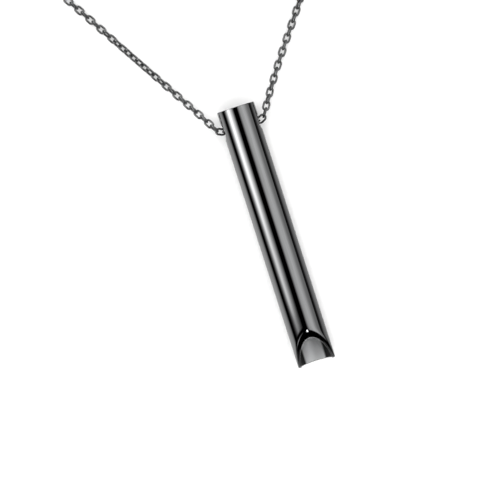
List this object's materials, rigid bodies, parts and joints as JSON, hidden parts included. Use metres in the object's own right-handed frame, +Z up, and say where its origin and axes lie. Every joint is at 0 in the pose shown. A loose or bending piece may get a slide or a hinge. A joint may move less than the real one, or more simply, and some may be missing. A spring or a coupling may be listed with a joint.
{
  "type": "whistle pendant necklace",
  "caption": "Slim polished metal tube with a slanted scoop mouth and a cross hole, threaded on a fine cable chain with a lobster clasp.",
  "frame": {"origin": "on the surface it lies on, under the middle of the whistle tube", "axes": "+Y along the tube from its scooped mouth towards its chain hole, +Z up out of the surface and the side the scoop opens to, X along the chain's cross hole"},
  "size_m": [0.059, 0.104, 0.0072],
  "materials": {
    "tube_gunmetal": "polished",
    "chain_gunmetal": "polished",
    "fitting_gunmetal": "polished",
    "spring_steel": "satin"
  },
  "bodies": {
    "necklace": {"chain_left": "chain_gunmetal", "chain_right": "chain_gunmetal", "chain_left_coil": "chain_gunmetal", "chain_right_coil": "chain_gunmetal", "chain_left_tail": "chain_gunmetal", "chain_right_tail": "chain_gunmetal", "chain_left_end_link": "chain_gunmetal", "chain_right_end_link": "chain_gunmetal"},
    "whistle": {"whistle_tube": "tube_gunmetal"},
    "end_ring": {"end_ring": "fitting_gunmetal"},
    "jump_ring": {"jump_ring": "fitting_gunmetal"},
    "clasp": {"clasp_body": "fitting_gunmetal", "clasp_rivet": "fitting_gunmetal", "clasp_spring": "spring_steel"},
    "clasp_lever": {"clasp_lever": "fitting_gunmetal"}
  },
  "joints": [
    {"name": "tube_swing", "type": "hinge", "parent": "necklace", "child": "whistle", "pos_m": [0, 0.0211, 0.0036], "axis": [-1, 0, 0], "range_deg": [0, 150]},
    {"name": "end_ring_swing", "type": "hinge", "parent": "necklace", "child": "end_ring", "pos_m": [-0.00756, 0.07463, 0.00078], "axis": [-0.3057, -0.9521, 0], "range_deg": [0, 60]},
    {"name": "jump_ring_swing", "type": "hinge", "parent": "necklace", "child": "jump_ring", "pos_m": [0.01026, 0.06867, 0.00115], "axis": [0.2342, 0.7294, 0.6428], "range_deg": [0, 30]},
    {"name": "clasp_swing", "type": "hinge", "parent": "jump_ring", "child": "clasp", "pos_m": [0.00773, 0.06929, 0.001], "axis": [0, 0, 1], "range_deg": [-45, 45]},
    {"name": "lever_open", "type": "hinge", "parent": "clasp", "child": "clasp_lever", "pos_m": [0.00467, 0.07153, 0.001], "axis": [0, 0, 1], "range_deg": [0, 18], "stiffness_Nm_per_rad": 0.001, "springref_deg": -17.19, "deforming": ["clasp_spring"]}
  ]
}
